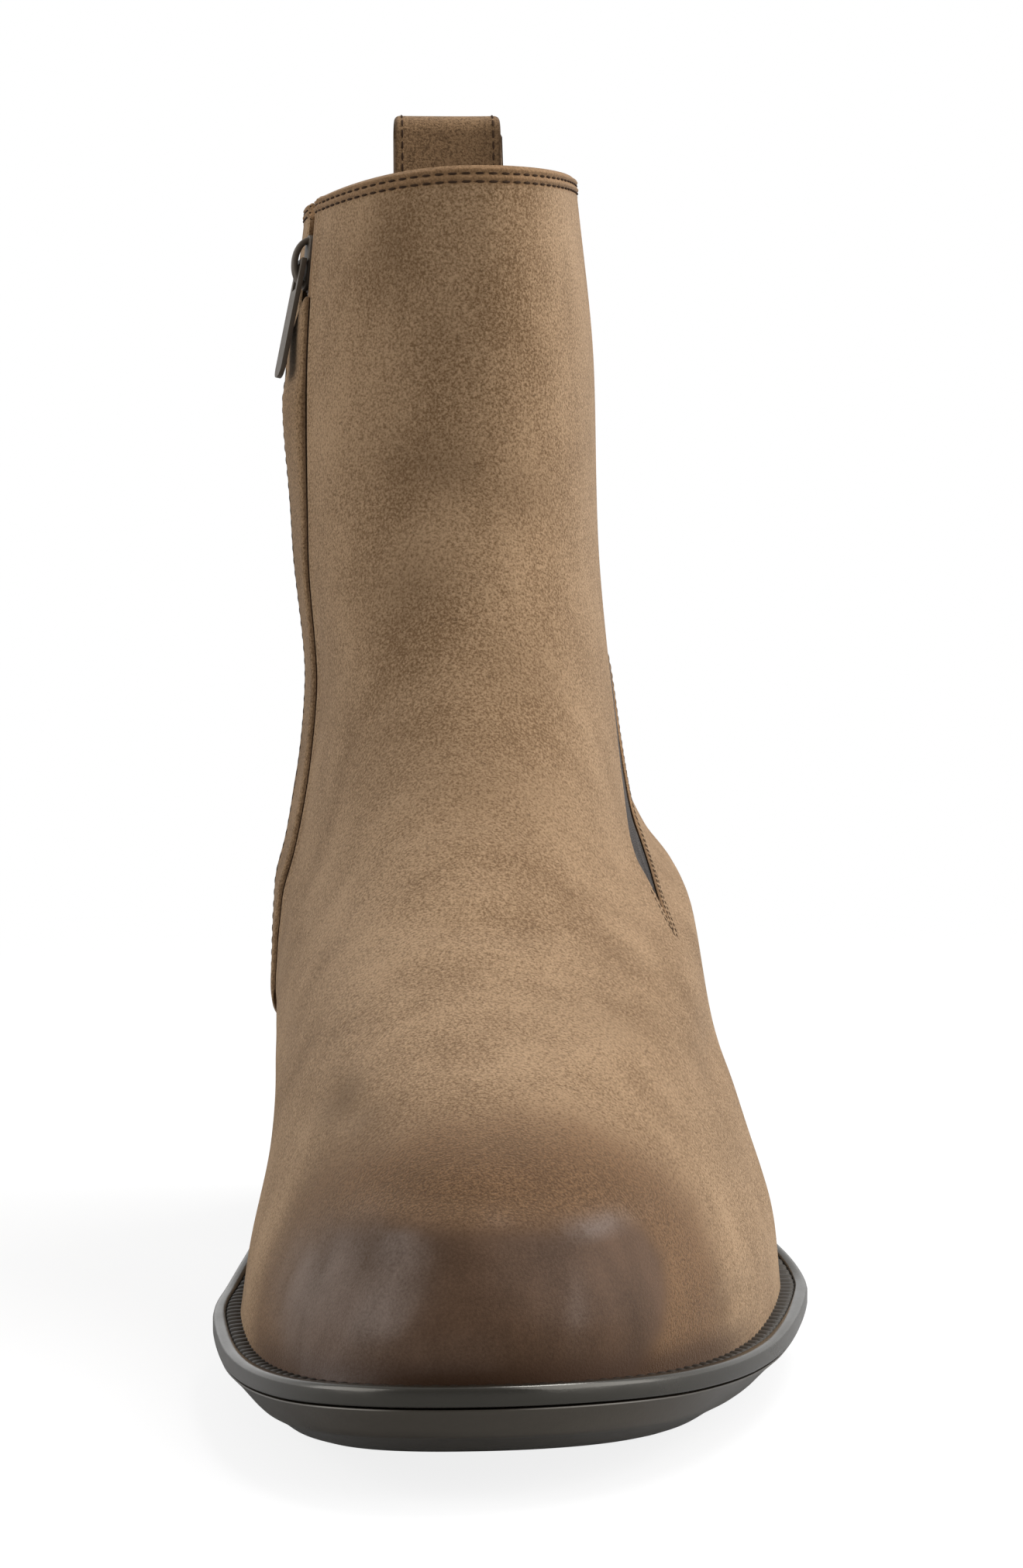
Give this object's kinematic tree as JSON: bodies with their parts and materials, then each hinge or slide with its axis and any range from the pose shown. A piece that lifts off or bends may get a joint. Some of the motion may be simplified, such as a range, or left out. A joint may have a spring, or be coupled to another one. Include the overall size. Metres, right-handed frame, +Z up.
{
  "type": "ankle bootie",
  "caption": "Left-foot suede ankle bootie with a block heel, inner side zip, elastic gore on the outer side and a pull loop at the back of the collar.",
  "frame": {"origin": "centre of the bounding box's bottom face, on the floor under the middle of the foot", "axes": "+Z up, +Y from toe to heel, +X towards the outer side of the left foot"},
  "size_m": [0.1031, 0.2685, 0.222],
  "materials": {
    "suede": "napped suede, burnished and semi-glossy at the toe",
    "dark_suede": "darker napped suede",
    "elastic": "ribbed elastic webbing",
    "welt_rubber": "satin",
    "sole_rubber": "satin",
    "insole_leather": "smooth lining leather",
    "zip_teeth": "dark moulded coil",
    "zip_metal": "taupe paint with worn edges"
  },
  "bodies": {
    "boot": {"heel": "sole_rubber", "outsole": "sole_rubber", "welt": "welt_rubber", "insole": "insole_leather", "upper": "suede", "elastic_gore": "elastic", "zip_chain": "zip_teeth", "zip_placket": "dark_suede", "zip_slider": "zip_metal", "pull_loop": "dark_suede"},
    "pull_tab": {"zip_pull": "zip_metal"}
  },
  "joints": [
    {"name": "zip_pull_swing", "type": "hinge", "parent": "boot", "child": "pull_tab", "pos_m": [-0.03319, 0.06033, 0.19072], "axis": [-0.1596, 0.9771, -0.1405], "range_deg": [0, 150]}
  ]
}
